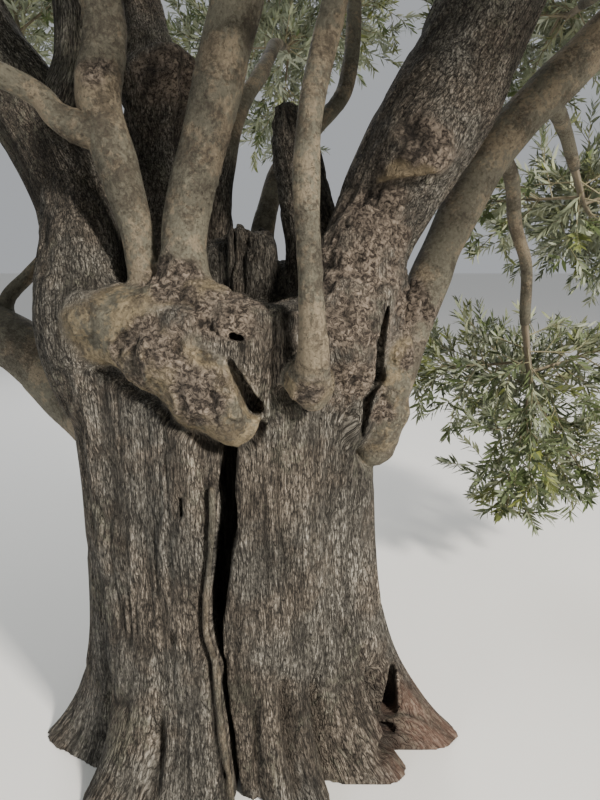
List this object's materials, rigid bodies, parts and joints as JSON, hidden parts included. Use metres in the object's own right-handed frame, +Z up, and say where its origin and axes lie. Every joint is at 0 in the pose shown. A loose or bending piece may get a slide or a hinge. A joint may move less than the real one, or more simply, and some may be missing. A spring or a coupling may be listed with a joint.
{
  "type": "olive tree",
  "caption": "Old olive tree rooted in level ground: a stout, deeply cleft trunk with burls and root flare, spreading boughs, and a broad open crown of grey-green leaves.",
  "frame": {"origin": "on the flat cut at ground level, under the middle of the trunk", "axes": "+Z up the trunk, -Y towards the side with the cleft and the burls, +X to the right as seen from there"},
  "size_m": [5.8678, 5.9569, 5.9783],
  "materials": {
    "old_bark": "old, deeply furrowed grey-brown bark, matt",
    "smooth_bark": "younger olive-grey bark, fairly smooth, matt, with warty patches",
    "foliage": "narrow leathery leaves, grey-green above and silvery below, satin"
  },
  "bodies": {
    "root": {"bough_back": "smooth_bark", "bough_back_left": "old_bark", "bough_back_right": "smooth_bark", "bough_front": "smooth_bark", "bough_front_left": "smooth_bark", "bough_front_right": "smooth_bark", "bough_left": "old_bark", "bough_left_low": "smooth_bark", "bough_right": "old_bark", "bough_right_low": "smooth_bark", "branch_front_low": "smooth_bark", "branch_hanging": "smooth_bark", "branch_hanging_low": "smooth_bark", "branch_left_back": "smooth_bark", "branch_left_front": "smooth_bark", "branch_left_upper": "smooth_bark", "branch_right_back": "smooth_bark", "branch_right_front": "smooth_bark", "branch_right_middle": "smooth_bark", "branch_top": "smooth_bark", "branch_upper_front": "smooth_bark", "branch_upper_left": "smooth_bark", "branch_upper_right": "smooth_bark", "leaves_low_1": "foliage", "leaves_low_2": "foliage", "leaves_low_3": "foliage", "leaves_low_4": "foliage", "leaves_low_5": "foliage", "leaves_low_6": "foliage", "leaves_low_7": "foliage", "leaves_low_8": "foliage", "leaves_low_9": "foliage", "leaves_middle_1": "foliage", "leaves_middle_2": "foliage", "leaves_middle_3": "foliage", "leaves_middle_4": "foliage", "leaves_middle_5": "foliage", "leaves_middle_6": "foliage", "leaves_middle_7": "foliage", "leaves_skirt_1": "foliage", "leaves_skirt_2": "foliage", "leaves_top_1": "foliage", "leaves_upper_1": "foliage", "leaves_upper_2": "foliage", "leaves_upper_3": "foliage", "leaves_upper_4": "foliage", "stub_middle": "old_bark", "trunk": "old_bark"}
  },
  "joints": []
}
